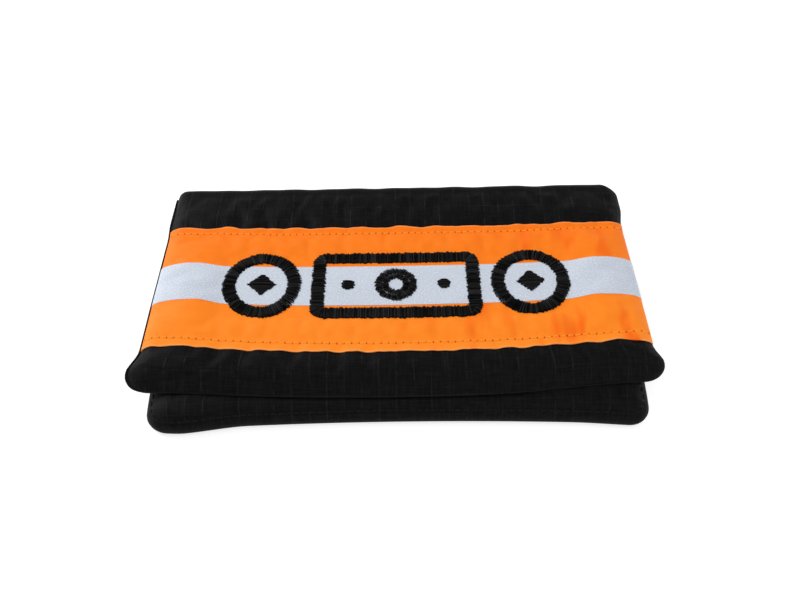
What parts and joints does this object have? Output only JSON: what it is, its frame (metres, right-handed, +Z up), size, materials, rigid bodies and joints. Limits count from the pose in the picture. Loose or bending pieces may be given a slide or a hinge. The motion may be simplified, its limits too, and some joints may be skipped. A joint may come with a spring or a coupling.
{
  "type": "cash deposit bag",
  "caption": "Padded cloth pouch with a fold-over hook-and-loop flap, a high-visibility trim band and satin-stitched coin and banknote marks, for carrying cash.",
  "frame": {"origin": "centre of the underside's outline, with the closed bag lying on its back wall", "axes": "+X along the fold, to the right as the marks read; +Y from the front seam to the fold; +Z up"},
  "size_m": [0.22, 0.1354, 0.02],
  "materials": {
    "ripstop_black": "satin",
    "lining_black": "matte",
    "padding_white": "matte",
    "trim_orange": "fluorescent satin",
    "reflective_silver": "retroreflective",
    "thread_orange": "satin",
    "thread_black": "satin",
    "hook_tape_black": "matte",
    "loop_tape_black": "matte",
    "stabiliser_white": "matte"
  },
  "bodies": {
    "pouch": {"back_panel_outer": "ripstop_black", "back_panel_padding": "padding_white", "back_panel_lining": "lining_black", "pouch_seam_edge": "ripstop_black", "pouch_topstitching": "thread_black"},
    "front_wall": {"front_panel_outer": "ripstop_black", "front_panel_padding": "padding_white", "front_panel_lining": "lining_black", "mouth_topstitching": "thread_black", "loop_strip": "loop_tape_black", "loop_strip_stitching": "thread_black"},
    "spine": {"spine_outer": "ripstop_black", "spine_padding": "padding_white", "spine_lining": "lining_black"},
    "flap": {"flap_outer": "ripstop_black", "flap_padding": "padding_white", "flap_lining": "lining_black", "high_visibility_band": "trim_orange", "reflective_stripe": "reflective_silver", "band_back_stitching": "thread_orange", "band_front_stitching": "thread_orange", "embroidered_coin_left": "thread_black", "embroidered_banknote": "thread_black", "embroidered_coin_right": "thread_black", "embroidery_backing": "stabiliser_white", "hook_strip": "hook_tape_black", "hook_strip_stitching": "thread_black"}
  },
  "joints": [
    {"name": "spine_fold", "type": "hinge", "parent": "pouch", "child": "spine", "pos_m": [0, 0.068, 0], "axis": [-1, 0, 0], "range_deg": [0, 90]},
    {"name": "flap_fold", "type": "hinge", "parent": "spine", "child": "flap", "pos_m": [0, 0.068, 0.0188], "axis": [-1, 0, 0], "range_deg": [0, 88]},
    {"name": "mouth_gape", "type": "hinge", "parent": "pouch", "child": "front_wall", "pos_m": [0, -0.0575, 0.0128], "axis": [1, 0, 0], "range_deg": [0, 10]}
  ],
  "couplings": [
    {"joint": "mouth_gape", "follows": "flap_fold", "ratio": 0.11}
  ]
}
